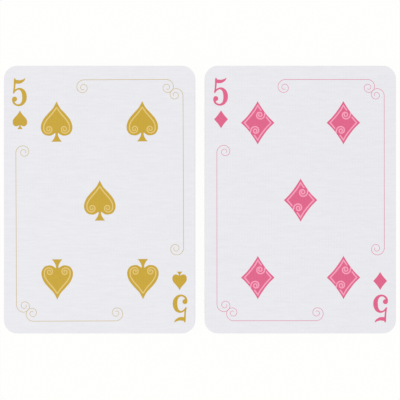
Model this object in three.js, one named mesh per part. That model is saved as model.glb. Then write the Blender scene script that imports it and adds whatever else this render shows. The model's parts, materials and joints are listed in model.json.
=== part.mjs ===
// A deck of 54 playing cards, squared up as two face-up packets that lie side by side on a table.
// Millimetres, +Z up. The origin is on the table, under the middle of the pair. +X points from the
// left packet to the right one, and +Y to the top edge of the cards.

import * as THREE from 'three';

// Size of one card.
const cardWidth = 63.5;
const cardHeight = 88.9;
const cardThickness = 0.29;
const cornerRadius = 4.4;

// The extrusion cuts each round corner into twice this many flat edges.
const cornerDivisions = 3;

// How the cards lie. Two cards of a packet have a film of air between them, and no hand squares
// them up perfectly: each may be this far off. A hand holds a packet by its long sides, so it gets
// them truer sideways than lengthways. The top card lies true, and the error grows to its full size
// over the first few cards under it.
const airGap = 0.015;
const packetGap = 3.2;
const sidewaysError = 0.03;
const lengthwaysError = 0.08;
const truedCards = 6;

// Paper as it looks from the front.
const paperColour = 0xeaeaee;
const paperRoughness = 0.42;

// The cards of one suit in their order, and the number of the top card of each packet.
const rankNames = [
  'ace', 'two', 'three', 'four', 'five', 'six', 'seven',
  'eight', 'nine', 'ten', 'jack', 'queen', 'king',
];
const topRank = 5;

// The outline of a card: a rectangle with round corners, centred on its own origin.
function cardOutline() {
  const halfWidth = cardWidth / 2;
  const halfHeight = cardHeight / 2;
  const straightX = halfWidth - cornerRadius;
  const straightY = halfHeight - cornerRadius;
  const quarterTurn = Math.PI / 2;
  const outline = new THREE.Shape();
  outline.moveTo(halfWidth, -straightY);
  outline.lineTo(halfWidth, straightY);
  outline.absarc(straightX, straightY, cornerRadius, 0, quarterTurn);
  outline.lineTo(-straightX, halfHeight);
  outline.absarc(-straightX, straightY, cornerRadius, quarterTurn, 2 * quarterTurn);
  outline.lineTo(-halfWidth, -straightY);
  outline.absarc(-straightX, -straightY, cornerRadius, 2 * quarterTurn, 3 * quarterTurn);
  outline.lineTo(straightX, -halfHeight);
  outline.absarc(straightX, -straightY, cornerRadius, 3 * quarterTurn, 4 * quarterTurn);
  return outline;
}

// One sheet of card stock, lying flat with its back on z = 0.
function cardSheet() {
  return new THREE.ExtrudeGeometry(cardOutline(), {
    depth: cardThickness,
    curveSegments: cornerDivisions,
    bevelEnabled: false,
  });
}

// The names of a suit's cards, from the one after the top rank round to the top rank.
function suitEndingOnTop(suit) {
  const turned = [...rankNames.slice(topRank), ...rankNames.slice(0, topRank)];
  return turned.map((rank) => `${rank}_of_${suit}`);
}

// The names of a suit's cards, from ace to king.
function suitInOrder(suit) {
  return rankNames.map((rank) => `${rank}_of_${suit}`);
}

// The cards of each packet, from the table up.
const leftCards = ['first_joker', ...suitInOrder('hearts'), ...suitEndingOnTop('spades')];
const rightCards = ['second_joker', ...suitInOrder('clubs'), ...suitEndingOnTop('diamonds')];

// How far a card lies off the middle of its packet. Two sines of unrelated steps look unplanned.
const sidewaysStep = 2.4;
const lengthwaysStep = 3.7;

function squaringOffset(cardsAbove) {
  const share = Math.min(cardsAbove / truedCards, 1);
  return new THREE.Vector2(
    share * sidewaysError * Math.sin(sidewaysStep * cardsAbove),
    share * lengthwaysError * Math.sin(lengthwaysStep * cardsAbove),
  );
}

// A squared packet. Its side is -1 for the left packet and 1 for the right one, which is the left
// one turned by half a turn, so the pair stays centred on the origin.
function packet(names, side) {
  const group = new THREE.Group();
  group.position.x = (side * (cardWidth + packetGap)) / 2;
  names.forEach((name, level) => {
    const card = new THREE.Mesh(
      cardSheet(),
      new THREE.MeshStandardMaterial({ color: paperColour, roughness: paperRoughness, metalness: 0 }),
    );
    const offset = squaringOffset(names.length - 1 - level);
    card.name = name;
    card.position.set(
      side * offset.x,
      side * offset.y,
      level * (cardThickness + airGap),
    );
    group.add(card);
  });
  return group;
}

const deck = new THREE.Group();
deck.add(packet(leftCards, -1));
deck.add(packet(rightCards, 1));

export default deck;
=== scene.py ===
# %% [markdown]
# # A deck of playing cards, squared up as two packets
#
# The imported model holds 54 plain sheets at their real size and place. This lesson dresses each one
# as a printed card, in the order of the press and the cutter: card stock, inks, a drawn face, a
# die-cut sheet with round corners, and a pattern on the back. The model is the frame for all of it,
# so no card is moved or resized here.

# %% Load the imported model
import cmath
import json
import math
import random

import bmesh
import bpy
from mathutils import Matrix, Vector
from mathutils.geometry import delaunay_2d_cdt


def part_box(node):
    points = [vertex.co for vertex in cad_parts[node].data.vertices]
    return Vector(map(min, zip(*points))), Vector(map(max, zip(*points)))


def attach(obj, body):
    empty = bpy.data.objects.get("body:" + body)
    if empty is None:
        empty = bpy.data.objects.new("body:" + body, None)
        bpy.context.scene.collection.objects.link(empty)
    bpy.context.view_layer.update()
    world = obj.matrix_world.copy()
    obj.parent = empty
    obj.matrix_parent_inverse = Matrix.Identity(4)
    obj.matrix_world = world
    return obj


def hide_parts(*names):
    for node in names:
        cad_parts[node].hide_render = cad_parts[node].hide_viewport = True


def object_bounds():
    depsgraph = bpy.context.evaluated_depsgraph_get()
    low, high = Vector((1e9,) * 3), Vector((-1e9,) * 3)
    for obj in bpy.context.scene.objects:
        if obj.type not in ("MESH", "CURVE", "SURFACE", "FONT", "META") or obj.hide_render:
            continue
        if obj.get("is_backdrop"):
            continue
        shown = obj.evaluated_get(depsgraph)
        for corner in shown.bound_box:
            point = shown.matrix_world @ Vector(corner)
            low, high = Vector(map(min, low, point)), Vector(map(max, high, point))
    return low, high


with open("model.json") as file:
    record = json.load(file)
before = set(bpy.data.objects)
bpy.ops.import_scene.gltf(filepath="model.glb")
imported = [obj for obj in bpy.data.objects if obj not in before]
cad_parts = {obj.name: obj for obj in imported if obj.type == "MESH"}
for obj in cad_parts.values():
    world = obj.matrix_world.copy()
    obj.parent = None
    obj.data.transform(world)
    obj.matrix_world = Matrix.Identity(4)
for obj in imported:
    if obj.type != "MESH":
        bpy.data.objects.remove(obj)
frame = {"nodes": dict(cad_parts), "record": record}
cad_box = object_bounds()
print(len(frame["nodes"]), "cards, in a box from", cad_box[0][:], "to", cad_box[1][:])

# %% Take the sizes from the frame
MM = 0.001
LEFT_TOP = "five_of_spades"
RIGHT_TOP = "five_of_diamonds"
UNDER_LEFT_TOP = "four_of_spades"

low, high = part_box(LEFT_TOP)
CARD_WIDTH, CARD_HEIGHT, CARD_THICKNESS = (high - low) / MM
CARD_PITCH = (low.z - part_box(UNDER_LEFT_TOP)[0].z) / MM
TOP_HEIGHT = high.z
print(f"card {CARD_WIDTH:.2f} x {CARD_HEIGHT:.2f} x {CARD_THICKNESS:.3f} mm")
print(f"one card every {CARD_PITCH:.3f} mm")

# %% [markdown]
# ## Camera
#
# The cards are seen from straight above, with no slant and no side in view, so the camera looks
# straight down from a metre away through a long lens. An orthographic camera would do as well, but a
# lens keeps the slight widening with height that a copy stand gives. Its length follows from how
# many millimetres the picture is wide at the height of the top cards.

# %% Place the camera over the top cards
PICTURE_WIDTH = 132.85 * MM
FILM_WIDTH = 36
CAMERA_RISE = 1.0
CAMERA_ACROSS = 0.03 * MM
CAMERA_UP = -0.13 * MM

camera_data = bpy.data.cameras.new("copy_stand")
camera_data.sensor_width = FILM_WIDTH
camera_data.lens = FILM_WIDTH * CAMERA_RISE / PICTURE_WIDTH
camera = bpy.data.objects.new("copy_stand", camera_data)
camera.location = (CAMERA_ACROSS, CAMERA_UP, TOP_HEIGHT + CAMERA_RISE)
bpy.context.scene.collection.objects.link(camera)
bpy.context.scene.camera = camera
bpy.context.scene.view_settings.view_transform = "Standard"
print(f"lens {camera_data.lens:.1f} mm, {CAMERA_RISE:.1f} m over the cards")

# %% [markdown]
# ## Shader sums in Python
#
# A pattern is a chain of small sums, and a node tree wired by hand hides them. A wrapped socket with
# Python's own operators keeps them readable: `1 - mask` adds a Math node and gives back its socket.
# Every other node comes from one method, which sets the node up first and then gives its sockets
# their values or links.

# %% A socket that can be added and multiplied
class Wire:
    """A socket of a node tree, on which sums add Math nodes."""

    def __init__(self, tree, socket=None):
        self.tree = tree
        self.socket = socket

    def node(self, kind, settings, sockets, output=0):
        """Adds a node, sets it up, feeds its sockets, and wraps one of its outputs."""
        made = self.tree.nodes.new("ShaderNode" + kind)
        for name, value in settings.items():
            setattr(made, name, value)
        for name, value in sockets.items():
            if isinstance(value, Wire):
                self.tree.links.new(value.socket, made.inputs[name])
            else:
                made.inputs[name].default_value = value
        return Wire(self.tree, made.outputs[output] if made.outputs else None)

    def sum(self, operation, *values):
        return self.node("Math", {"operation": operation}, dict(enumerate(values)))

    def __add__(self, other):
        return self.sum("ADD", self, other)

    def __sub__(self, other):
        return self.sum("SUBTRACT", self, other)

    def __rsub__(self, other):
        return self.sum("SUBTRACT", other, self)

    def __mul__(self, other):
        return self.sum("MULTIPLY", self, other)

    def __truediv__(self, other):
        return self.sum("DIVIDE", self, other)

    def __lt__(self, other):
        return self.sum("LESS_THAN", self, other)

    def __gt__(self, other):
        return self.sum("GREATER_THAN", self, other)

    def __abs__(self):
        return self.sum("ABSOLUTE", self)

    __radd__ = __add__
    __rmul__ = __mul__


print("a sum on a", Wire.__name__, "adds its own Math node")


# %% Colours as they look on a screen
def screen_colour(red, green, blue):
    """A screen colour, each part from 0 to 255, as the linear values that a shader takes.

    The numbers are those of the sRGB curve.
    """
    parts = [part / 255 for part in (red, green, blue)]
    linear = [part / 12.92 if part < 0.04 else ((part + 0.055) / 1.055) ** 2.4 for part in parts]
    return (*linear, 1.0)


WHITE_PAPER = screen_colour(234, 234, 239)
GOLD = screen_colour(199, 162, 26)
PINK = screen_colour(223, 93, 134)
PALE_GOLD = screen_colour(229, 198, 116)
PALE_PINK = screen_colour(249, 161, 189)
print("white paper is", [round(part, 3) for part in WHITE_PAPER[:3]])

# %% Small steps that every material takes
def new_tree(name):
    """A material with an empty node tree, and a wire to build the tree with."""
    material = bpy.data.materials.new(name)
    material.use_nodes = True
    material.node_tree.nodes.clear()
    return material, Wire(material.node_tree)


def mixed(factor, first, second):
    """A colour between two colours, which are inputs 6 and 7 of a Mix node, as its output 2 is."""
    return factor.node("Mix", {"data_type": "RGBA"}, {0: factor, 6: first, 7: second}, 2)


def speckle(place, scale, detail=2.0):
    """A cloudy noise around 0.5, with its scale as three numbers for the three directions."""
    stretched = place.node("VectorMath", {"operation": "MULTIPLY"}, {0: place, 1: scale})
    return place.node("TexNoise", {}, {"Vector": stretched, "Scale": 1.0, "Detail": detail}, "Fac")


def darker(colour, share):
    """A share of a colour. More than 1 makes it lighter."""
    return (*[part * share for part in colour[:3]], 1.0)


print("half as bright as paper is", [round(part, 3) for part in darker(WHITE_PAPER, 0.5)[:3]])

# %% [markdown]
# ## Light and floor
#
# The deck lies on white paper under the even light of a light box. An even sky gives most of the
# light, and one large soft lamp the rest, from high on the left, so that the side walls of the
# packets and the pressed grain still turn a little. Together they light a flat surface so that a
# colour shows about as it is written. The floor is white paper too: most of what the camera sees of
# it is its own white, and the rest is lit, so a faint shadow stays around the packets.

# %% Light the scene evenly
SKY_STRENGTH = 0.62
LAMP_SIZE = 3.0
LAMP_PLACE = (-1.5, -0.3, 4.6)
LAMP_POWER = 96.0

world = bpy.data.worlds.new("light_box")
world.use_nodes = True
world.node_tree.nodes.clear()
sky = Wire(world.node_tree)


def seen_directly(start):
    """1 on rays from the camera, from a gloss or through glass, and 0 on rays that light a surface."""
    straight = start.node("LightPath", {}, {}, "Is Camera Ray")
    glossy = start.node("LightPath", {}, {}, "Is Glossy Ray")
    through = start.node("LightPath", {}, {}, "Is Transmission Ray")
    return straight.sum("MAXIMUM", straight.sum("MAXIMUM", straight, glossy), through)


strength = SKY_STRENGTH + (1 - SKY_STRENGTH) * seen_directly(sky)
background = sky.node("Background", {}, {"Color": (1, 1, 1, 1), "Strength": strength})
sky.node("OutputWorld", {}, {"Surface": background})
bpy.context.scene.world = world

lamp_data = bpy.data.lights.new("soft_lamp", "AREA")
lamp_data.size = LAMP_SIZE
lamp_data.energy = LAMP_POWER
lamp = bpy.data.objects.new("soft_lamp", lamp_data)
lamp.location = LAMP_PLACE
lamp.rotation_euler = (-Vector(LAMP_PLACE)).to_track_quat("-Z", "Y").to_euler()
bpy.context.scene.collection.objects.link(lamp)
print("sky strength", SKY_STRENGTH, "and a lamp of", LAMP_POWER, "W")

# %% Lay the floor just under the deck
FLOOR_HALF = 2.0
FLOOR_DROP = 0.02 * MM
FLOOR_PAPER = (0.9, 0.9, 0.89, 1)
FLOOR_WHITE = screen_colour(255, 255, 253)
FLOOR_OWN_WHITE = 0.975

floor_mesh = bpy.data.meshes.new("floor")
ground = bmesh.new()
bmesh.ops.create_grid(ground, x_segments=1, y_segments=1, size=FLOOR_HALF)
bmesh.ops.translate(ground, vec=(0, 0, -FLOOR_DROP), verts=ground.verts)
ground.to_mesh(floor_mesh)
ground.free()

floor_material, start = new_tree("floor_white")
lit = start.node("BsdfDiffuse", {}, {"Color": FLOOR_PAPER})
own = start.node("Emission", {}, {"Color": FLOOR_WHITE, "Strength": 1.0})
share = FLOOR_OWN_WHITE * seen_directly(start)
start.node("OutputMaterial", {}, {"Surface": start.node("MixShader", {}, {0: share, 1: lit, 2: own})})
floor_mesh.materials.append(floor_material)
floor = bpy.data.objects.new("floor", floor_mesh)
bpy.context.scene.collection.objects.link(floor)
floor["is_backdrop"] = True
print("floor of", 2 * FLOOR_HALF, "m")

# %% [markdown]
# ## Card stock and inks
#
# Playing card paper is two sheets glued back to back, printed, varnished, and pressed with a fine
# linen grain that keeps air between the cards so they slide. The grain is half a millimetre from
# dimple to dimple, far too fine to model, so it is a bump made of two crossed waves. Paper and ink
# share it, because it is pressed in after printing. The stock itself is a cool, even white with
# faint streaks along the card's width, the way the fibres lie.
#
# The inks are flat spot colours. A solid patch of ink is never quite even: it is mottled by a few
# hundredths, and it is a little glossier than the paper. That is all these materials hold, because
# the drawing itself is cut into the face as real regions and needs no picture.

# %% The pressed linen grain
GRAIN_PITCH = 0.5 * MM
GRAIN_DEPTH = 0.006 * MM
WARP_THREADS = (2500, 60, 60)
WEFT_THREADS = (60, 2500, 60)


def linen_grain(place):
    """A normal with the threads of pressed linen, some pressed deeper than others."""
    across = place.node("SeparateXYZ", {}, {0: place}, "X") * (2 * math.pi / GRAIN_PITCH)
    along = place.node("SeparateXYZ", {}, {0: place}, "Y") * (2 * math.pi / GRAIN_PITCH)
    warp = place.sum("SINE", across) * (speckle(place, WARP_THREADS) + 0.5)
    weft = place.sum("SINE", along) * (speckle(place, WEFT_THREADS) + 0.5)
    return place.node("Bump", {}, {"Strength": 1.0, "Distance": GRAIN_DEPTH, "Height": warp + weft})


print(f"a thread every {GRAIN_PITCH / MM:.1f} mm, pressed {GRAIN_DEPTH / MM:.3f} mm deep")

# %% One finish for paper and ink
STREAKS = (230, 1500, 55)
MOTTLE = (900, 900, 900)
COLOUR_SPREAD = 0.5
SHINE_CHANGE = 0.12
VARNISH_SPECULAR = 0.3
PAPER_ROUGHNESS = 0.42
INK_ROUGHNESS = 0.36
PALE_INK_ROUGHNESS = 0.38


def varnished(name, colour, streak, mottle, roughness):
    """A varnished surface whose colour changes by about the given shares, in streaks and in clouds."""
    material, start = new_tree(name)
    place = start.node("TexCoord", {}, {}, "Object")
    streaks = (speckle(place, STREAKS) - 0.5) * (2 * streak)
    clouds = (speckle(place, MOTTLE, 4.0) - 0.5) * (2 * mottle)
    depth = 0.5 + streaks + clouds
    dark, light = darker(colour, 1 - COLOUR_SPREAD), darker(colour, 1 + COLOUR_SPREAD)
    shader = start.node("BsdfPrincipled", {}, {
        "Base Color": mixed(depth, dark, light),
        "Roughness": roughness + (speckle(place, MOTTLE) - 0.5) * SHINE_CHANGE,
        "Specular IOR Level": VARNISH_SPECULAR,
        "Normal": linen_grain(place),
    })
    start.node("OutputMaterial", {}, {"Surface": shader})
    return material


paper = varnished("white_card_stock", WHITE_PAPER, 0.045, 0.01, PAPER_ROUGHNESS)
gold_ink = varnished("gold_ink", GOLD, 0.02, 0.08, INK_ROUGHNESS)
pink_ink = varnished("pink_ink", PINK, 0.02, 0.08, INK_ROUGHNESS)
pale_gold_ink = varnished("pale_gold_ink", PALE_GOLD, 0.02, 0.04, PALE_INK_ROUGHNESS)
pale_pink_ink = varnished("pale_pink_ink", PALE_PINK, 0.02, 0.04, PALE_INK_ROUGHNESS)
print("paper and four inks, of roughness", PAPER_ROUGHNESS, INK_ROUGHNESS, PALE_INK_ROUGHNESS)

# %% [markdown]
# ## The cut edge
#
# A die punches the card out of the printed sheet, so its edge is bare: white fibre with the thin
# grey line of the glue between the two papers. In a squared packet these edges are all that shows
# from the side, and no two of them catch the light alike, which is how a packet shows from a step
# away that it is many sheets and no block. Here that light is painted: each sheet's edge gets a
# random lighter or darker tone. Both the line and the painted tone of a sheet are found from the
# height of the point in its packet, because the cards lie at an even pitch.

# %% Edge of bare fibre with a glue line
GLUE_LINE = screen_colour(150, 152, 160)
GLUE_HALF_WIDTH = 0.09
GLUE_SHARE = 0.35
EDGE_FIBRES = (1500, 1500, 9000)
EDGE_DARKEST = 0.72
EDGE_LIGHTEST = 1.12
EDGE_ROUGHNESS = 0.7
FIBRE_ROUGHNESS = 0.2
FIBRE_STRENGTH = 0.4
FIBRE_RISE = 0.01 * MM
BARELY_UP = 0.0001
# Painted light: how far each sheet's edge is made lighter or darker at random.
SHEET_PAINTED_LIGHT = 2.2
SHEET_DRIFT = 18.0
SHEET_STEP = 3.7


def cut_edge():
    """Bare fibre with a glue line half way up each sheet, and painted light: some sheets darker than
    others.
    """
    material, start = new_tree("cut_edge")
    place = start.node("TexCoord", {}, {}, "Object")
    across, along, height = (place.node("SeparateXYZ", {}, {0: place}, axis) for axis in "XYZ")
    level = height / (CARD_PITCH * MM) + BARELY_UP
    layer = place.sum("FRACT", level) * (CARD_PITCH / CARD_THICKNESS)
    glue = abs(layer - 0.5) < GLUE_HALF_WIDTH
    fibres = speckle(place, EDGE_FIBRES, 3.0)
    sheet = place.node("CombineXYZ", {}, {
        "X": across * SHEET_DRIFT,
        "Y": along * SHEET_DRIFT,
        "Z": place.sum("FLOOR", level) * SHEET_STEP,
    })
    # Painted light: a random lighter or darker tone for each sheet, on top of the real fibres.
    tone = (speckle(sheet, (1, 1, 1)) - 0.5) * SHEET_PAINTED_LIGHT + 0.5 * fibres + 0.25
    bare = mixed(tone, darker(WHITE_PAPER, EDGE_DARKEST), darker(WHITE_PAPER, EDGE_LIGHTEST))
    shader = start.node("BsdfPrincipled", {}, {
        "Base Color": mixed(glue * (GLUE_SHARE + 0.5 * fibres), bare, GLUE_LINE),
        "Roughness": EDGE_ROUGHNESS + FIBRE_ROUGHNESS * fibres,
        "Normal": place.node("Bump", {}, {
            "Strength": FIBRE_STRENGTH,
            "Distance": FIBRE_RISE,
            "Height": fibres,
        }),
    })
    start.node("OutputMaterial", {}, {"Surface": shader})
    return material


edge = cut_edge()
print("edge with one glue line to a card")

# %% [markdown]
# ## The back
#
# No back shows in the picture, so this one is plain trade work: a white margin, a double rule and a
# slanted lattice with a lozenge in each mesh, in the two inks of the faces. It turns onto itself by
# half a turn, as a card back has to. The pattern is worked out from the card's own map, which is in
# millimetres from the middle of the card, so one material fits every card.

# %% Lattice back in two inks
PRINT_MAP = "card_millimetres"
MESH_PITCH = 4.28
FIELD_HALF_WIDTH = 6 * MESH_PITCH
FIELD_HALF_HEIGHT = 9 * MESH_PITCH
LINE_HALF_WIDTH = 0.15
LOZENGE_HALF_WIDTH = 0.75
INNER_RULE = 0.15
OUTER_RULE = 1.4
OUTER_RULE_HALF_WIDTH = 0.3
INK_LOSS = 0.1
INK_GLOSS = 0.05


def lattice_back():
    """A white back with the rules and the lattice in gold, and the lozenges in pink."""
    material, start = new_tree("lattice_back")
    place = start.node("TexCoord", {}, {}, "Object")
    card_map = start.node("UVMap", {"uv_map": PRINT_MAP}, {})
    across = card_map.node("SeparateXYZ", {}, {0: card_map}, "X")
    along = card_map.node("SeparateXYZ", {}, {0: card_map}, "Y")
    beyond = start.sum("MAXIMUM", abs(across) - FIELD_HALF_WIDTH, abs(along) - FIELD_HALF_HEIGHT)
    rising = start.sum("PINGPONG", across + along, MESH_PITCH / 2)
    falling = start.sum("PINGPONG", across - along, MESH_PITCH / 2)
    from_line = start.sum("MINIMUM", rising, falling) / math.sqrt(2)
    lattice = (from_line < LINE_HALF_WIDTH) * (beyond < 0)
    lozenge = (from_line > MESH_PITCH / math.sqrt(8) - LOZENGE_HALF_WIDTH) * (beyond < 0)
    inner_rule = abs(beyond - INNER_RULE) < LINE_HALF_WIDTH
    outer_rule = abs(beyond - OUTER_RULE) < OUTER_RULE_HALF_WIDTH
    gold = lattice + inner_rule + outer_rule
    ink_left = 1 - INK_LOSS * speckle(place, MOTTLE, 3.0)
    colour = mixed(gold * ink_left, WHITE_PAPER, GOLD)
    colour = mixed(lozenge * ink_left, colour, PINK)
    shader = start.node("BsdfPrincipled", {}, {
        "Base Color": colour,
        "Roughness": PAPER_ROUGHNESS - INK_GLOSS * gold,
        "Specular IOR Level": VARNISH_SPECULAR,
        "Normal": linen_grain(place),
    })
    start.node("OutputMaterial", {}, {"Surface": shader})
    return material


back = lattice_back()
print("back with a mesh of", MESH_PITCH, "mm")

# %% [markdown]
# ## Drawing with a pen
#
# The faces are line drawings: curls, thick and thin strokes and a few solid shapes. A point is a
# complex number in millimetres from the middle of the drawing, its real part across and its
# imaginary part up, because then one multiplication turns and scales a shape and one addition
# moves it. Curves pass through a few knots, and a pen turns a path into an outline.
# Font and curve objects could draw these too, but an outline as plain points can be cut into the
# face of the card later on.

# %% A smooth curve through a few knots
def curve(knots, steps=7):
    """A smooth line through its knots. A knot is a point, or a point with the pen's width there."""
    rows = [knot if isinstance(knot, tuple) else (knot,) for knot in knots]
    rows = [rows[0], *rows, rows[-1]]
    line = []
    for before, start, end, after in zip(rows, rows[1:], rows[2:], rows[3:]):
        for step in range(steps):
            line.append(tuple(between(*four, step / steps) for four in zip(before, start, end, after)))
    line.append(rows[-1])
    return line if len(rows[0]) > 1 else [row[0] for row in line]


def between(before, start, end, after, part):
    """A value part of the way from start to end, with the values on both sides setting the slopes."""
    slope = end - before
    bend = 2 * before - 5 * start + 4 * end - after
    twist = 3 * start - before - 3 * end + after
    return start + (slope * part + bend * part ** 2 + twist * part ** 3) / 2


print("a curve through 3 knots has", len(curve([0, 1, 2])), "points")

# %% Arcs, dots and curls
CURL_TIP = 0.9


def arc(centre, radius, start, end, steps):
    """Points on a circle from one angle to another, in degrees."""
    angles = [start + (end - start) * step / steps for step in range(steps + 1)]
    return [centre + cmath.rect(radius, math.radians(angle)) for angle in angles]


def dot(centre, radius, steps=24):
    return arc(centre, radius, 0, 360, steps)[:-1]


def curl(centre, radii, start, turn, last_part, steps=7):
    """A curl, by its radius at each quarter turn from an angle, and a last part of a quarter."""
    knots = [(radius, start + turn * 90 * quarter) for quarter, radius in enumerate(radii)]
    knots.append((CURL_TIP * radii[-1], knots[-1][1] + turn * 90 * last_part))
    return [centre + cmath.rect(radius, math.radians(angle)) for radius, angle in curve(knots, steps)]


def mirrored(points):
    """The left half of a shape whose right half is given, from its end back to its start."""
    return [complex(-point.real, point.imag) for point in reversed(points)]


print("a dot has", len(dot(0, 1)), "points")

# %% A pen that follows a path
SHARPEST_MITRE = 0.35
CAP_STEPS = 8


def round_cap(tip, ahead, width):
    """The points round the end of a stroke that runs ahead to its tip."""
    angle = math.degrees(cmath.phase(ahead))
    return arc(tip, width / 2, angle - 90, angle + 90, CAP_STEPS)[1:-1]


def pen(path, width=None, round_ends=True):
    """The outline of a stroke along points of one width, or along points with their widths."""
    points = path if width else [point for point, _ in path]
    widths = [width] * len(path) if width else [pen_width for _, pen_width in path]
    ways = [(end - start) / abs(end - start) for start, end in zip(points, points[1:])]
    right = []
    left = []
    for point, pen_width, before, after in zip(points, widths, ways[:1] + ways, ways + ways[-1:]):
        along = (before + after) / abs(before + after)
        mitre = 1 / max((along * before.conjugate()).real, SHARPEST_MITRE)
        side = along * 1j * pen_width / 2 * mitre
        right.append(point - side)
        left.append(point + side)
    end_cap = round_cap(points[-1], ways[-1], widths[-1]) if round_ends else []
    start_cap = round_cap(points[0], -ways[0], widths[0]) if round_ends else []
    return right + end_cap + left[::-1] + start_cap


def bar(start, end, width):
    """A straight stroke with square ends."""
    return pen([start, end], width, round_ends=False)


def fading(path, width, tip):
    """The points of a path with their widths, as the pen grows lighter towards its end."""
    step = (width - tip) / (len(path) - 1)
    return [(point, width - step * index) for index, point in enumerate(path)]


print("a bar has", len(bar(0, 1, 0.1)), "corners, and with round ends", len(pen([0, 1], 0.1)), "points")

# %% [markdown]
# ## Suit signs
#
# Each sign is a solid shape in ink, with pale lines that follow its edge and roll up inside it. A
# drawing is a pair of lists: what is solid ink, and which lines in it are pale. Where solid shapes
# overlap they print as one, so a club is simply three dots, a middle and a foot.

# %% Spade
PALE_WIDTH = 0.42
PALE_TIP = 0.34
LEAF = [6.65j, 1.15 + 4.5j, 2.75 + 2.75j, 4.35 + 0.8j, 5.15 - 1.15j, 5.1 - 2.9j, 4.05 - 4.35j,
        2.05 - 4.7j]
FOOT = [0.45 - 3.8j, 0.46 - 4.6j, 1 - 5.78j, 1.75 - 6.72j]
LEAF_LINE = [4.65j, 1.2 + 2.95j, 2.1 + 1.9j, 3.25 + 0.55j, 4 - 0.7j, 4.25 - 1.55j]
LEAF_CURL = (1.75, 1.25, 0.92, 0.9, 0.78, 0.5, 0.2)
LEAF_CURL_CENTRE = 2.5 - 2.6j


def leaf_lines():
    """The pale line of a leaf, down both sides and rolled up at both ends."""
    roll = curl(LEAF_CURL_CENTRE, LEAF_CURL, start=0, turn=-1, last_part=0.5)
    side = curve([*LEAF_LINE, roll[0]], steps=4)[:-1] + roll
    right = pen(fading(side, PALE_WIDTH, PALE_TIP))
    return [right, mirrored(right)]


def spade():
    side = curve([*LEAF, FOOT[0]])[:-1] + curve(FOOT, steps=4)
    return {"ink": [side + mirrored(side)[:-1]], "pale": leaf_lines()}


print("spade of", len(spade()["ink"][0]), "points")

# %% Heart, which is the spade's leaf upside down with a cleft
CLEFT = [1 - 4.2j, -3.35j]
HEART_MIDDLE = 0.95j


def heart():
    side = curve([*LEAF, *CLEFT])
    leaf = side[:-1] + mirrored(side)[:-1]
    return {
        "ink": [[HEART_MIDDLE - point for point in leaf]],
        "pale": [[HEART_MIDDLE - point for point in line] for line in leaf_lines()],
    }


print("heart of", len(heart()["ink"][0]), "points")

# %% Club, of three lobes on a foot
LOBE_RADIUS = 2.6
LOBES = [3.85j, 2.85 - 1j, -2.85 - 1j]
LOBE_CURL = (1.7, 1.45, 1.15, 0.95, 0.78, 0.6, 0.45)
LOBE_CURL_STARTS = [(-90, 1), (30, -1), (150, 1)]
CLUB_MIDDLE = 0.35j
CLUB_MIDDLE_RADIUS = 1.5
CLUB_FOOT = [0.45 + 0.5j, 0.42 - 2.6j, 0.5 - 4.2j, 0.95 - 5.5j, 1.7 - 6.6j]


def club():
    foot = curve(CLUB_FOOT, steps=4)
    solids = [dot(lobe, LOBE_RADIUS, steps=36) for lobe in LOBES]
    solids += [dot(CLUB_MIDDLE, CLUB_MIDDLE_RADIUS), foot + mirrored(foot)]
    rolls = [
        curl(lobe, LOBE_CURL, start, turn, last_part=0.4)
        for lobe, (start, turn) in zip(LOBES, LOBE_CURL_STARTS)
    ]
    return {"ink": solids, "pale": [pen(roll, PALE_WIDTH) for roll in rolls]}


print("club of", len(club()["ink"]), "solid shapes")

# %% Diamond, which is the same after half a turn
DIAMOND_QUARTER = [7.2j, 0.55 + 6.2j, 1.9 + 4.15j, 3.6 + 1.95j, 5.55]
TIP_LINE = [1.1 + 4.2j, 0.6 + 4.85j, 5.75j]
SIDE_LINE = [5.75j, -0.9 + 4.15j, -1.85 + 2.9j, -2.95 + 1.55j, -4.4]
CORNER_LINE = [-4.4, -3.6 - 0.9j, -2.85 - 1.85j]
DIAMOND_CURL = (1.56, 1.37, 1.08, 0.8, 0.64, 0.58, 0.45)
DIAMOND_CURL_CENTRE = 0.75 + 2.65j
CURL_LEAD = [(2.8 + 3.5j, 0.75), (2.5 + 3.15j, 0.6)]


def four_sided(quarter):
    """A lozenge from its upper right quarter."""
    half = quarter[:-1] + [point.conjugate() for point in reversed(quarter)][:-1]
    return half + [-point for point in half]


def diamond():
    edge_line = curve(TIP_LINE, steps=3)[:-1] + curve(SIDE_LINE, steps=3)[:-1]
    edge_line += curve(CORNER_LINE, steps=3)
    roll = curl(DIAMOND_CURL_CENTRE, DIAMOND_CURL, start=0, turn=-1, last_part=0.5)
    lead = curve([*CURL_LEAD, (roll[0], PALE_WIDTH)], steps=4)[:-1]
    lines = [pen(edge_line, PALE_WIDTH), pen(lead + [(point, PALE_WIDTH) for point in roll])]
    return {
        "ink": [four_sided(curve(DIAMOND_QUARTER, steps=4))],
        "pale": lines + [[-point for point in line] for line in lines],
    }


print("diamond of", len(diamond()["ink"][0]), "points, with", len(diamond()["pale"]), "pale lines")

# %% Small signs under the numerals, without lines
SMALL_LEAF = [3.1j, 0.5 + 2.2j, 1.3 + 1.25j, 2.1 + 0.3j, 2.4 - 0.65j, 2.2 - 1.65j, 1.3 - 2.2j]
SMALL_FOOT = [0.2 - 1.8j, 0.3 - 2.25j, 0.5 - 2.55j, 0.9 - 3.1j]
SMALL_QUARTER = [3.0j, 0.5 + 2.2j, 1.15 + 1.3j, 2.3]
SMALL_SCALE = 0.42


def small_spade():
    side = curve([*SMALL_LEAF, SMALL_FOOT[0]], steps=4)[:-1] + curve(SMALL_FOOT, steps=3)
    return {"ink": [side + mirrored(side)[:-1]]}


def small_heart():
    return {"ink": [[point * SMALL_SCALE for point in outline] for outline in heart()["ink"]]}


def small_club():
    return {"ink": [[point * SMALL_SCALE for point in outline] for outline in club()["ink"]]}


def small_diamond():
    return {"ink": [four_sided(curve(SMALL_QUARTER, steps=3))]}


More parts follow.
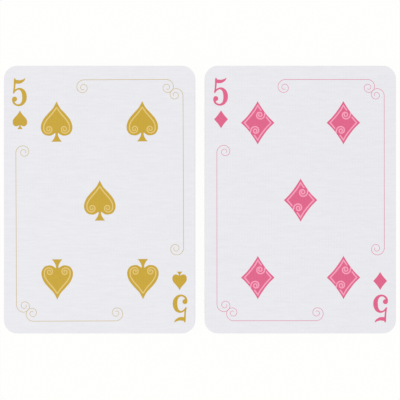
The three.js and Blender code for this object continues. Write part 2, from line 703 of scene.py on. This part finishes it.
SIGNS = {"spades": spade, "hearts": heart, "clubs": club, "diamonds": diamond}
SMALL_SIGNS = {
    "spades": small_spade,
    "hearts": small_heart,
    "clubs": small_club,
    "diamonds": small_diamond,
}
print("signs of", ", ".join(SIGNS))

# %% [markdown]
# ## Numerals and letters
#
# The numerals are of the fat-face kind: one side of each round stroke is three times as wide as the
# other, and loose ends close in a ball. Each is drawn as the few pen strokes that a sign writer
# would make, with the width of the pen at each knot. All are about 9 mm high and 4 to 6 mm wide.

# %% Pen widths that the numerals share
STEM = 1.45
THIN = 0.5
SERIF = 0.34
BALL = 0.83


def strokes(*paths):
    """A smooth stroke along each path of knots with their widths."""
    return [pen(curve(path)) for path in paths]


print("pens from", SERIF, "to", STEM, "mm wide")

# %% Ace, two, three and four
def numeral_ace():
    legs = [bar(4.9j, -2.15 - 4.2j, THIN), bar(0.05 + 4.9j, 2 - 4.2j, STEM)]
    feet = [bar(-3 - 4.25j, -1.3 - 4.25j, SERIF), bar(0.9 - 4.25j, 3.1 - 4.25j, SERIF)]
    return legs + feet + [bar(-1.5 - 1.4j, 1.2 - 1.4j, THIN)]


def numeral_two():
    hook = [(-2.05 + 3.1j, 0.6), (-1.35 + 4.35j, 0.55), (-0.1 + 4.7j, 0.62), (1.1 + 4.1j, 1.15),
            (1.55 + 2.75j, STEM), (1.15 + 1.1j, 1.3), (-0.1 - 0.9j, 0.85), (-1.5 - 2.7j, 0.55),
            (-2.15 - 4.1j, THIN)]
    base = [(-2.15 - 4.1j, THIN), (-1.45 - 3.45j, 0.85), (-0.4 - 3.8j, 1.2), (0.8 - 4.1j, 1.15),
            (1.75 - 3.6j, 0.7), (2.15 - 2.5j, 0.35)]
    return strokes(hook, base) + [dot(-1.45 + 2.75j, BALL)]


def numeral_three():
    upper = [(-1.95 + 3.3j, 0.55), (-1.3 + 4.4j, 0.55), (-0.1 + 4.7j, 0.6), (1 + 4.15j, 1.1),
             (1.3 + 2.95j, 1.3), (0.8 + 1.5j, 1.0), (-0.4 + 0.65j, THIN)]
    lower = [(-0.6 + 0.65j, THIN), (0.5 + 0.35j, 0.75), (1.45 - 0.75j, 1.4), (1.5 - 2.4j, 1.4),
             (0.75 - 3.75j, 0.95), (-0.45 - 4.2j, 0.6), (-1.5 - 3.75j, 0.58), (-2 - 2.9j, 0.7)]
    return strokes(upper, lower) + [dot(-1.4 + 3j, BALL), dot(-1.5 - 2.3j, BALL)]


def numeral_four():
    stem = [bar(0.85 + 4.9j, 0.85 - 4.2j, STEM), bar(-0.5 - 4.25j, 2.2 - 4.25j, SERIF)]
    return stem + [bar(1 + 4.85j, -2.45 - 1.5j, THIN), bar(-2.6 - 1.65j, 2.5 - 1.65j, THIN)]


print("the ace is drawn in", len(numeral_ace()), "strokes, and the four in", len(numeral_four()))

# %% Five, six, seven, eight and nine
SIX_TO_NINE = 0.4j


def numeral_five():
    stem = [(-1.5 + 4.65j, 0.44), (-1.47 + 4.15j, 0.66), (-1.55 + 2.65j, 0.57), (-1.7 + 1.05j, 0.55),
            (-1.9 + 0.05j, 0.5)]
    flag = [(-1.15 + 3.75j, 1.2), (-0.6 + 3.65j, 1.24), (0.35 + 3.7j, 1.05), (1.4 + 4.2j, 0.67),
            (1.85 + 4.7j, 0.27)]
    bowl = [(-1.9 + 0.05j, 0.5), (-1.15 + 0.95j, 0.54), (1.35j, 0.69), (1.1 + 0.7j, 1.17),
            (1.65 - 0.65j, 1.5), (1.6 - 2.4j, 1.42), (0.8 - 3.7j, 0.93), (-0.45 - 4.1j, 0.61),
            (-1.55 - 3.6j, 0.64), (-1.98 - 2.85j, 0.7), (-2.07 - 2.2j, 0.7)]
    return strokes(stem, flag, bowl) + [dot(-1.57 - 2.05j, BALL)]


def numeral_six():
    back_stroke = [(1.85 + 3.5j, THIN), (1.1 + 4.55j, THIN), (4.7j, 0.6), (-1.05 + 3.7j, 1.1),
                   (-1.65 + 1.6j, 1.4), (-1.75 - 0.9j, STEM), (-1.4 - 2.9j, 1.3), (-0.5 - 4.05j, 0.75),
                   (0.2 - 4.2j, 0.55), (1.2 - 3.6j, 0.9), (1.7 - 1.9j, 1.4)]
    bowl = [(1.7 - 1.9j, 1.4), (1.4 - 0.3j, 1.0), (0.5 + 0.55j, 0.55), (-0.5 + 0.3j, 0.45),
            (-1.3 - 0.8j, 0.4)]
    return strokes(back_stroke, bowl) + [dot(1.35 + 3.1j, 0.75)]


def numeral_seven():
    flag = [(-2.1 + 2.6j, 0.35), (-1.75 + 3.7j, 0.75), (-0.8 + 4.15j, 1.2), (0.5 + 3.95j, 1.2),
            (1.5 + 4.2j, 0.75), (2.1 + 4.6j, 0.4)]
    stem = [(2.05 + 4.55j, 0.4), (1.3 + 2.4j, 0.55), (0.3 + 0.2j, 0.85), (-0.35 - 2j, 1.35),
            (-0.45 - 3.75j, 1.5)]
    return strokes(flag, stem)


def numeral_eight():
    falling = [(4.7j, THIN), (-1.05 + 4.2j, 0.8), (-1.4 + 3j, 1.15), (-0.95 + 1.8j, 1.2),
               (0.2 + 0.75j, 1.2), (1.4 - 0.6j, 1.3), (1.7 - 2.3j, 1.3), (1.1 - 3.7j, 0.85),
               (-4.2j, THIN)]
    rising = [(4.7j, THIN), (1 + 4.2j, 0.6), (1.3 + 3j, 0.8), (0.85 + 1.7j, 0.55),
              (-0.2 + 0.7j, THIN), (-1.3 - 0.6j, 0.75), (-1.75 - 2.2j, 1.05), (-1.2 - 3.6j, 0.8),
              (-4.2j, THIN)]
    return strokes(falling, rising)


def numeral_nine():
    """The six, turned by half a turn and stood on the same line."""
    return [[SIX_TO_NINE - point for point in outline] for outline in numeral_six()]


print("the five is drawn in", len(numeral_five()), "strokes, and the eight in", len(numeral_eight()))

# %% Ten, jack, queen and king
SHOULDER_ACROSS = 0.75
SHOULDER_UP = 0.76
SHOULDER_WIDTH = 0.72


def oval(centre, half_width, half_height, width):
    """Two round strokes, thick at the sides and thin at top and bottom."""
    up = half_height * 1j
    sides = []
    for across in (-half_width, half_width):
        sides.append([
            (centre + up, THIN),
            (centre + across * SHOULDER_ACROSS + up * SHOULDER_UP, width * SHOULDER_WIDTH),
            (centre + across, width),
            (centre + across * SHOULDER_ACROSS - up * SHOULDER_UP, width * SHOULDER_WIDTH),
            (centre - up, THIN),
        ])
    return strokes(*sides)


def numeral_ten():
    one = [bar(-1.85 + 4.6j, -1.85 - 4.2j, 1.25), bar(-2.95 - 4.25j, -0.75 - 4.25j, SERIF)]
    flag = strokes([(-2.85 + 3.5j, 0.3), (-2.35 + 4.1j, THIN), (-1.75 + 4.55j, 0.6)])
    return one + flag + oval(1.45 + 0.25j, 1.15, 4.45, 1.25)


def letter_jack():
    hook = [(0.8 - 1.5j, STEM), (0.65 - 3j, 1.2), (-0.1 - 4.1j, 0.7), (-1.1 - 4.15j, THIN),
            (-1.9 - 3.4j, 0.55), (-2.1 - 2.6j, 0.6)]
    stem = [bar(0.8 + 4.8j, 0.8 - 1.5j, STEM), bar(-0.8 + 4.75j, 2.4 + 4.75j, SERIF)]
    return stem + strokes(hook) + [dot(-1.6 - 2.4j, BALL)]


def letter_queen():
    tail = [(-0.8 - 2.6j, 0.35), (-0.1 - 2.4j, 0.6), (0.5 - 3.3j, 0.9), (1.3 - 4.7j, 0.8),
            (2.3 - 4.75j, 0.35)]
    return oval(0.35j, 1.8, 4.35, STEM) + strokes(tail)


def letter_king():
    stem = [bar(-1.7 + 4.7j, -1.7 - 4.2j, STEM), bar(-0.9 + 0.2j, 2.1 + 4.6j, THIN)]
    leg = [bar(-0.55 + 0.9j, 2.05 - 4.2j, 1.3)]
    serifs = [(-2.9 + 4.75j, 2.3), (-2.9 - 4.25j, 2.3), (1.2 + 4.75j, 1.7), (0.9 - 4.25j, 2.1)]
    return stem + leg + [bar(start, start + length, SERIF) for start, length in serifs]


NUMERALS = {
    "ace": numeral_ace, "two": numeral_two, "three": numeral_three, "four": numeral_four,
    "five": numeral_five, "six": numeral_six, "seven": numeral_seven, "eight": numeral_eight,
    "nine": numeral_nine, "ten": numeral_ten, "jack": letter_jack, "queen": letter_queen,
    "king": letter_king,
}
print(len(NUMERALS), "numerals and letters")

# %% [markdown]
# ## Rules, crowns and stars
#
# A hairline runs round every face. It is broken at two corners to leave room for the numerals, and
# each of its four lines rolls up at both ends, an ornament as old as ironwork. The court cards and
# jokers carry no figures: a crown over the suit's sign marks a court card, and a star marks a joker.

# %% Hairline with curled ends
RULE_HALF_WIDTH = 27.8
RULE_HALF_HEIGHT = 40.05
RULE_CURL = (2.65, 2.15, 1.62, 1.28, 1.1, 0.92, 0.6)
RULE_CURL_STEPS = 9
RULE_LAST_PART = 0.3
TOP_LINE_ENDS = (-5.3, 22.45)
SIDE_LINE_ENDS = (34.85, -16.05)
HAIRLINE = 0.15
HAIRLINE_TIP = 0.13


def curled_line(start, start_angle, start_turn, end, end_angle, end_turn):
    """A straight line between two curls, each given by the middle of its curl."""
    opening = curl(start, RULE_CURL, start_angle, start_turn, RULE_LAST_PART, RULE_CURL_STEPS)
    closing = curl(end, RULE_CURL, end_angle, end_turn, RULE_LAST_PART, RULE_CURL_STEPS)
    to_start, to_end = (fading(part, HAIRLINE, HAIRLINE_TIP) for part in (opening, closing))
    return pen(to_start[::-1] + to_end)


def frame_lines():
    """The top line and the right-hand one. Half a turn of both gives the other two."""
    top = (RULE_HALF_HEIGHT - RULE_CURL[0]) * 1j
    right = RULE_HALF_WIDTH - RULE_CURL[0]
    return {"ink": [
        curled_line(TOP_LINE_ENDS[0] + top, 90, 1, TOP_LINE_ENDS[1] + top, 90, -1),
        curled_line(right + SIDE_LINE_ENDS[0] * 1j, 0, 1, right + SIDE_LINE_ENDS[1] * 1j, 0, -1),
    ]}


print("hairline of", HAIRLINE, "mm, each of", len(frame_lines()["ink"][0]), "points")

# %% Crown for the court cards
CROWN_POINTS = {"jack": 3, "queen": 5, "king": 7}
CROWN_HALF_WIDTH = 8.5
CROWN_HEIGHT = 8.5
DIP_HEIGHT = 0.4 * CROWN_HEIGHT
OUTER_FALL = 0.2
TIP_HALF_WIDTH = 1.15 * CROWN_HALF_WIDTH
BALL_RADIUS = 0.95
BALL_RISE = 0.6j
STONE_HALF_WIDTH = 0.85 * CROWN_HALF_WIDTH
STONE_HEIGHT = 2.4j
STONE_RADIUS = 0.42
BAND_HALF_WIDTH = 0.95 * CROWN_HALF_WIDTH
BAND_HEIGHT = 1.1j


def crown(points):
    """A crown seen flat, with a ball on each of its points and a stone under each."""
    outline = [complex(-CROWN_HALF_WIDTH), complex(CROWN_HALF_WIDTH)]
    balls = []
    stones = []
    for step in range(2 * points - 1):
        across = 1 - step / (points - 1)
        if step % 2:
            outline.append(complex(across * CROWN_HALF_WIDTH, DIP_HEIGHT))
            continue
        tip = complex(across * TIP_HALF_WIDTH, CROWN_HEIGHT * (1 - OUTER_FALL * abs(across)))
        outline.append(tip)
        balls.append(dot(tip + BALL_RISE, BALL_RADIUS, steps=16))
        stones.append(dot(across * STONE_HALF_WIDTH + STONE_HEIGHT, STONE_RADIUS, steps=12))
    band = bar(-BAND_HALF_WIDTH + BAND_HEIGHT, BAND_HALF_WIDTH + BAND_HEIGHT, PALE_WIDTH)
    return {"ink": [outline, *balls], "pale": [band, *stones]}


print("crowns of", CROWN_POINTS, "points")

# %% Star for the jokers
STAR_REACH = 14.0
STAR_RAYS = 8
REACH_SHARES = (1.0, 0.4, 0.72, 0.4)
STAR_CURL = (3.6, 3.2, 2.8, 2.3, 1.9, 1.5, 1.1)


def star():
    """Eight rays, long and short by turns, with two curls wound into each other in the middle."""
    outline = []
    for step in range(2 * STAR_RAYS):
        share = REACH_SHARES[step % len(REACH_SHARES)]
        outline.append(cmath.rect(STAR_REACH * share, math.pi / 2 + math.pi * step / STAR_RAYS))
    rolls = [curl(0, STAR_CURL, start, turn=1, last_part=0.5) for start in (0, 180)]
    return {"ink": [outline], "pale": [pen(roll, PALE_WIDTH) for roll in rolls]}


print("star of", STAR_RAYS, "rays,", 2 * STAR_REACH, "mm across")

# %% [markdown]
# ## Setting out a face
#
# A face is set out from its middle. The hairlines, the numerals with their small signs and the
# crowns stand twice, the second time turned by half a turn, so the card reads alike from both ends.
# The signs of a number card stand in two columns and on the middle line, those below the middle
# upside down, and the topmost reach up to one height whatever the suit.

# %% Put a drawing on a face
def stamp(face, drawing, place=0, turn=0.0, scale=1.0):
    """Adds a drawing to a face, moved to its place, turned by degrees and scaled."""
    spin = cmath.rect(scale, math.radians(turn))
    for layer, outlines in drawing.items():
        face[layer] += [[place + spin * point for point in outline] for outline in outlines]


def stamp_twice(face, drawing, place=0, scale=1.0):
    """Adds a drawing and the same turned by half a turn about the middle of the face."""
    stamp(face, drawing, place, 0, scale)
    stamp(face, drawing, -place, 180, scale)


trial = {"ink": [], "pale": []}
stamp_twice(trial, frame_lines())
print("the hairlines stamped twice make", len(trial["ink"]), "outlines")

# %% Rows of signs, as shares of the height of the top row
COLUMN = 14.23
SIGN_TOP = 32.9
SIDE_ROWS = {
    "four": (1, -1), "five": (1, -1), "six": (1, 0, -1), "seven": (1, 0, -1), "eight": (1, 0, -1),
    "nine": (1, 1 / 3, -1 / 3, -1), "ten": (1, 1 / 3, -1 / 3, -1),
}
MIDDLE_ROWS = {
    "two": (1, -1), "three": (1, 0, -1), "five": (0,), "seven": (0.5,), "eight": (0.5, -0.5),
    "nine": (0,), "ten": (2 / 3, -2 / 3),
}


def set_signs(face, rank, suit):
    """Stands the signs of a number card in their rows, those below the middle upside down."""
    sign = SIGNS[suit]()
    reach = max(point.imag for point in sign["ink"][0])
    top_row = SIGN_TOP - reach
    places = [(column, row) for column in (-COLUMN, COLUMN) for row in SIDE_ROWS.get(rank, ())]
    places += [(0, row) for row in MIDDLE_ROWS.get(rank, ())]
    for column, row in places:
        stamp(face, sign, complex(column, row * top_row), 180 if row < 0 else 0)


print("signs in two columns,", 2 * COLUMN, "mm apart, with their tops", SIGN_TOP, "mm up")

# %% Draw the face of any card
INDEX_PLACE = -26.57 + 35.8j
SMALL_SIGN_PLACE = -26.4 + 26.87j
ACE_SCALE = 2.3
CROWN_PLACE = 18j
COURT_SIGN_PLACE = 8.5j
SMALL_STAR_SCALE = 0.2


def draw_face(name):
    """All outlines on the face of a card, in millimetres from its middle."""
    face = {"ink": [], "pale": []}
    stamp_twice(face, frame_lines())
    if "_of_" not in name:
        stamp(face, star())
        stamp_twice(face, {"ink": star()["ink"]}, INDEX_PLACE, SMALL_STAR_SCALE)
        return face
    rank, suit = name.split("_of_")
    stamp_twice(face, {"ink": NUMERALS[rank]()}, INDEX_PLACE)
    stamp_twice(face, SMALL_SIGNS[suit](), SMALL_SIGN_PLACE)
    if rank == "ace":
        stamp(face, SIGNS[suit](), 0, 0, ACE_SCALE)
    elif rank in CROWN_POINTS:
        stamp_twice(face, crown(CROWN_POINTS[rank]), CROWN_PLACE)
        stamp_twice(face, SIGNS[suit](), COURT_SIGN_PLACE)
    else:
        set_signs(face, rank, suit)
    return face


sample = draw_face(LEFT_TOP)
print(LEFT_TOP, "has", len(sample["ink"]), "ink outlines and", len(sample["pale"]), "pale ones")

# %% [markdown]
# ## The die-cut sheet
#
# A card is punched from a printed sheet by a steel die. The die leaves round corners, rolls the
# front edge over by a few hundredths of a millimetre, and leaves the back edge almost sharp. The
# blank is made the same way: a rectangle, its four corners rounded by a vertex bevel, drawn up to
# the thickness of the card, and both rims bevelled. All cards start as copies of this one blank.

# %% Punch one blank card, in millimetres
CORNER_RADIUS = 4.4
CORNER_SEGMENTS = 10
FRONT_ROLL = 0.035
BACK_ROLL = 0.02
SAME_HEIGHT = 1e-4


def rim(card, height):
    """The edges all round the sheet at one height."""
    level = {vert for vert in card.verts if abs(vert.co.z - height) < SAME_HEIGHT}
    return [part for part in card.edges if level.issuperset(part.verts)]


def punch_blank():
    """A sheet of card stock, centred on its own middle, with its back at z = 0."""
    card = bmesh.new()
    bmesh.ops.create_grid(card, x_segments=1, y_segments=1, size=0.5)
    bmesh.ops.scale(card, vec=(CARD_WIDTH, CARD_HEIGHT, 1), verts=card.verts)
    bmesh.ops.bevel(card, geom=card.verts[:], offset=CORNER_RADIUS, segments=CORNER_SEGMENTS,
                    profile=0.5, affect="VERTICES", material=-1)
    made = bmesh.ops.extrude_face_region(card, geom=card.faces[:])["geom"]
    raised = [part for part in made if isinstance(part, bmesh.types.BMVert)]
    bmesh.ops.translate(card, vec=(0, 0, CARD_THICKNESS), verts=raised)
    bmesh.ops.recalc_face_normals(card, faces=card.faces)
    for height, roll in ((CARD_THICKNESS, FRONT_ROLL), (0, BACK_ROLL)):
        bmesh.ops.bevel(card, geom=rim(card, height), offset=roll, segments=2, profile=0.5,
                        affect="EDGES", material=-1)
    return card


blank = punch_blank()
loose = [part for part in blank.edges if len(part.link_faces) != 2]
print(len(blank.verts), "points,", len(blank.faces), "faces,", len(loose), "open edges")

# %% Give the sides of the blank their materials
PAPER_SLOT, INK_SLOT, PALE_SLOT, BACK_SLOT, EDGE_SLOT = range(5)
STEEPEST_ROLL = 0.2


def dress_blank(card):
    """The papers of the front and the back roll over the rims, and between them lies the bare edge."""
    for side in card.faces:
        rise = side.normal.z
        side.material_index = PAPER_SLOT if rise > STEEPEST_ROLL else EDGE_SLOT
        if rise < -STEEPEST_ROLL:
            side.material_index = BACK_SLOT
        side.smooth = len(side.verts) == 4


dress_blank(blank)
slots_used = [side.material_index for side in blank.faces]
print(slots_used.count(EDGE_SLOT), "faces of bare edge,", slots_used.count(BACK_SLOT), "of the back")

# %% [markdown]
# ## Printing
#
# The drawing becomes part of the sheet: the front face is cut along every outline, and each region
# between the cuts is paper, ink or pale line. A picture on the face would blur when seen close, and
# a film of ink laid over the paper would leave two surfaces fighting a hundredth of a millimetre
# apart. No mesh operator cuts many closed outlines into a face at once, so the cutting is done by
# Blender's constrained triangulation, which also says which outlines each triangle lies in.

# %% Cut a drawing into the front of a blank
WELD_DISTANCE = 1e-4


def turned_left(outline):
    """The outline with its inside on the left, as the triangulation wants it."""
    sides = zip(outline, outline[1:] + outline[:1])
    area = sum((first.conjugate() * second).imag for first, second in sides)
    return outline if area > 0 else outline[::-1]


def slot_of(inside):
    """The material slot of a region, by the layers of the drawing that it lies in."""
    if {"ink", "pale"} <= inside:
        return PALE_SLOT
    return INK_SLOT if "ink" in inside else PAPER_SLOT


def cut_front(card, face, shift, tilt):
    """Cuts the outlines of a face, shifted and tilted as printed, into the front of the card."""
    front = max(card.faces, key=lambda side: side.calc_center_median().z)
    border = [corner.vert for corner in front.loops]
    points = [complex(vert.co.x, vert.co.y) for vert in border]
    rings = [list(range(len(points)))]
    layers = ["paper"]
    spin = cmath.rect(1, math.radians(tilt))
    for layer, outlines in face.items():
        for outline in outlines:
            rings.append(list(range(len(points), len(points) + len(outline))))
            points += turned_left([shift + spin * point for point in outline])
            layers.append(layer)
    flat = [Vector((point.real, point.imag)) for point in points]
    places, _, triangles, sources, _, owners = delaunay_2d_cdt(flat, [], rings, 1, WELD_DISTANCE)
    card.faces.remove(front)
    verts = []
    for place, source in zip(places, sources):
        known = [index for index in source if index < len(border)]
        verts.append(border[known[0]] if known else card.verts.new((*place, CARD_THICKNESS)))
    for triangle, owner in zip(triangles, owners):
        region = card.faces.new([verts[index] for index in triangle])
        region.material_index = slot_of({layers[ring] for ring in owner})


print("pale ink goes in slot", slot_of({"paper", "ink", "pale"}))
print("bare paper goes in slot", slot_of({"paper"}))

# %% Lay the card's own map in millimetres
def map_in_millimetres(card):
    """A map whose numbers are millimetres from the middle of the card."""
    layer = card.loops.layers.uv.new(PRINT_MAP)
    for side in card.faces:
        for corner in side.loops:
            corner[layer].uv = corner.vert.co.xy


print("the map is called", PRINT_MAP)

# %% [markdown]
# ## Fifty-four cards
#
# The press never lands twice on the same spot: the print sits a few tenths of a millimetre off the
# middle of the card and turned by a fraction of a degree. The two cards on top have the offsets
# that can be seen on them, and the cards beneath take others of the same size from a fixed seed.
# Each card stands for the sheet of the same name, lies exactly where that sheet lies, and moves
# with it. The cards are made from the top of the packets down, so that the two that show come first.

# %% Where the print sits on each card
SEEN_PRINT = {LEFT_TOP: (0.09 - 0.25j, 0.24), RIGHT_TOP: (0.09 - 0.17j, 0.05)}
USUAL_SHIFT = 0.2
USUAL_TILT = 0.15
SEED = 54

chance = random.Random(SEED)


def print_offset(name):
    """How far off the middle the print sits, in millimetres, and its tilt in degrees."""
    across = chance.uniform(-USUAL_SHIFT, USUAL_SHIFT)
    up = chance.uniform(-USUAL_SHIFT, USUAL_SHIFT)
    tilt = chance.uniform(-USUAL_TILT, USUAL_TILT)
    return SEEN_PRINT.get(name, (complex(across, up), tilt))


print_offsets = {name: print_offset(name) for name in sorted(frame["nodes"])}
print("print up to", USUAL_SHIFT, "mm off each way, and", USUAL_TILT, "degrees askew")

# %% Inks and record slot of each suit
GOLD_INKS = (gold_ink, pale_gold_ink, "gold_printed_card")
PINK_INKS = (pink_ink, pale_pink_ink, "pink_printed_card")
JOKER_INKS = (gold_ink, pale_gold_ink, "joker_card")


def inks_of(name):
    """The ink, the pale ink and the record's material slot of a card."""
    if "_of_" not in name:
        return JOKER_INKS
    return PINK_INKS if name.endswith(("hearts", "diamonds")) else GOLD_INKS


print(LEFT_TOP, "is a", inks_of(LEFT_TOP)[2], "and", RIGHT_TOP, "a", inks_of(RIGHT_TOP)[2])

# %% Print, place and dress every card
def make_card(name, body):
    """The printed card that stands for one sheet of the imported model."""
    sheet_low, sheet_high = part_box(name)
    middle = (sheet_low + sheet_high) / 2
    card = blank.copy()
    cut_front(card, draw_face(name), *print_offsets[name])
    map_in_millimetres(card)
    bmesh.ops.scale(card, vec=(MM, MM, MM), verts=card.verts)
    bmesh.ops.translate(card, vec=(middle.x, middle.y, sheet_low.z), verts=card.verts)
    mesh = bpy.data.meshes.new("printed_" + name)
    card.to_mesh(mesh)
    card.free()
    ink, pale_ink, record_slot = inks_of(name)
    for material in (paper, ink, pale_ink, back, edge):
        mesh.materials.append(material)
    piece = bpy.data.objects.new("printed_" + name, mesh)
    bpy.context.scene.collection.objects.link(piece)
    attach(piece, body)
    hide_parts(name)
    return piece


bodies = frame["record"]["behaviour"]["bodies"]
body_of_node = {node: body for body, members in bodies.items() for node in members}
from_the_top = sorted(frame["nodes"], key=lambda name: (-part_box(name)[0].z, name))
cards = [make_card(name, body_of_node[name]) for name in from_the_top]
triangles_made = sum(len(side.vertices) - 2 for card in cards for side in card.data.polygons)
print(len(cards), "cards of", triangles_made, "triangles in all")

# %% [markdown]
# ## Check the size and finish
#
# The printed cards have to fill the same box as the imported sheets.

# %% Compare the two boxes
card_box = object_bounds()
differences = [(card_corner - cad_corner) / MM for cad_corner, card_corner in zip(cad_box, card_box)]
print(f"largest difference {max(abs(part) for corner in differences for part in corner):.5f} mm")
